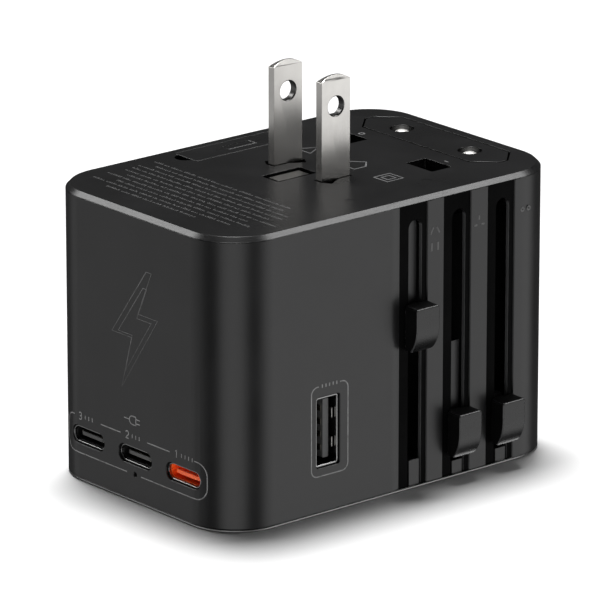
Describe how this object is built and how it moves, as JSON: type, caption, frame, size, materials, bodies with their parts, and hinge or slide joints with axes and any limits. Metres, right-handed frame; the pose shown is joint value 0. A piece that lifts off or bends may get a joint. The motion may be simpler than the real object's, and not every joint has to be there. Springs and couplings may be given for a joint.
{
  "type": "universal travel adapter",
  "caption": "Box-shaped travel adapter with pop-out US, UK and EU plugs on side sliders, a universal socket, USB-C ports and a USB-A port.",
  "frame": {"origin": "centre of the flat socket face, which the adapter stands on", "axes": "+Z from the socket face to the plug face; +Y along the long side, away from the USB-C face; +X towards the slider side"},
  "size_m": [0.0533, 0.0754, 0.0704],
  "materials": {
    "black_shell": "fine satin moulded black plastic",
    "black_inner": "plain black moulded plastic",
    "white_plastic": "off-white moulded plastic",
    "orange_plastic": "bright orange moulded plastic",
    "nickel": "nickel-plated metal, lightly brushed",
    "brass": "bare stamped or machined brass",
    "circuit_board": "green solder mask on glass fibre",
    "ferrite": "matt sintered ferrite",
    "copper_winding": "enamelled copper wire",
    "aluminium_can": "drawn aluminium can",
    "yellow_plastic": "yellow moulded box",
    "fuse_glass": "glass tube with nickel end caps"
  },
  "bodies": {
    "housing": {"outer_sleeve": "black_shell", "plug_face_cover": "black_shell", "socket_face_cover": "black_shell", "slider_guide": "black_inner", "fuse_holder": "black_inner", "fuse_clip_front": "nickel", "fuse_clip_rear": "nickel", "working_fuse": "fuse_glass", "spare_fuse": "fuse_glass", "live_bus_bar": "brass", "neutral_bus_bar": "brass", "live_socket_contact": "brass", "neutral_socket_contact": "brass", "earth_socket_contact": "brass", "shutter_spring": "nickel", "usb_c_shell_3": "nickel", "usb_c_tongue_3": "white_plastic", "usb_c_shell_2": "nickel", "usb_c_tongue_2": "white_plastic", "usb_c_shell_1": "nickel", "usb_c_tongue_1": "orange_plastic", "usb_a_shell": "nickel", "usb_a_tongue": "white_plastic", "usb_c_board": "circuit_board", "usb_a_board": "circuit_board", "main_board": "circuit_board", "insulating_sheet": "black_inner", "transformer_core": "ferrite", "transformer_winding": "copper_winding", "mains_capacitor": "aluminium_can", "output_capacitor": "aluminium_can", "safety_capacitor": "yellow_plastic", "input_choke": "ferrite", "power_chip": "black_inner", "light_pipe": "white_plastic"},
    "us_carriage": {"us_carrier": "black_inner", "us_knob": "black_shell", "us_wiper_left": "nickel", "us_wiper_right": "nickel"},
    "us_blade_left": {"us_blade_left": "nickel"},
    "us_blade_right": {"us_blade_right": "nickel"},
    "uk_carriage": {"uk_carrier": "black_inner", "uk_knob": "black_shell", "uk_pin_left": "brass", "uk_pin_right": "brass", "uk_earth_pin": "brass", "uk_wiper_left": "nickel", "uk_wiper_right": "nickel"},
    "eu_carriage": {"eu_carrier": "black_inner", "eu_knob": "black_shell", "eu_pin_left": "nickel", "eu_pin_right": "nickel"},
    "eu_block": {"eu_plug_block": "black_shell"},
    "shutter": {"socket_shutter": "white_plastic"},
    "fuse_lid": {"fuse_lid": "black_shell"}
  },
  "joints": [
    {"name": "us_slide", "type": "slide", "parent": "housing", "child": "us_carriage", "axis": [0, 0, 1], "range_m": [-0.0198, 0]},
    {"name": "us_blade_left_turn", "type": "hinge", "parent": "us_carriage", "child": "us_blade_left", "pos_m": [-0.00635, 0.00105, 0.041], "axis": [0, 0, 1], "range_deg": [-30, 0]},
    {"name": "us_blade_right_turn", "type": "hinge", "parent": "us_carriage", "child": "us_blade_right", "pos_m": [0.00635, 0.00105, 0.041], "axis": [0, 0, 1], "range_deg": [0, 30]},
    {"name": "uk_slide", "type": "slide", "parent": "housing", "child": "uk_carriage", "axis": [0, 0, 1], "range_m": [0, 0.0229]},
    {"name": "eu_slide", "type": "slide", "parent": "housing", "child": "eu_carriage", "axis": [0, 0, 1], "range_m": [0, 0.0317]},
    {"name": "eu_block_rise", "type": "slide", "parent": "housing", "child": "eu_block", "axis": [0, 0, 1], "range_m": [0, 0.0125]},
    {"name": "shutter_slide", "type": "slide", "parent": "housing", "child": "shutter", "axis": [0, 1, 0], "range_m": [0, 0.0085], "stiffness_N_per_m": 25, "springref_m": -0.002, "deforming": ["shutter_spring"]},
    {"name": "fuse_lid_lift", "type": "slide", "parent": "housing", "child": "fuse_lid", "axis": [0, 0, 1], "range_m": [0, 0.012]}
  ],
  "couplings": [
    {"joint": "eu_block_rise", "follows": "eu_slide", "ratio": 0.39432}
  ]
}
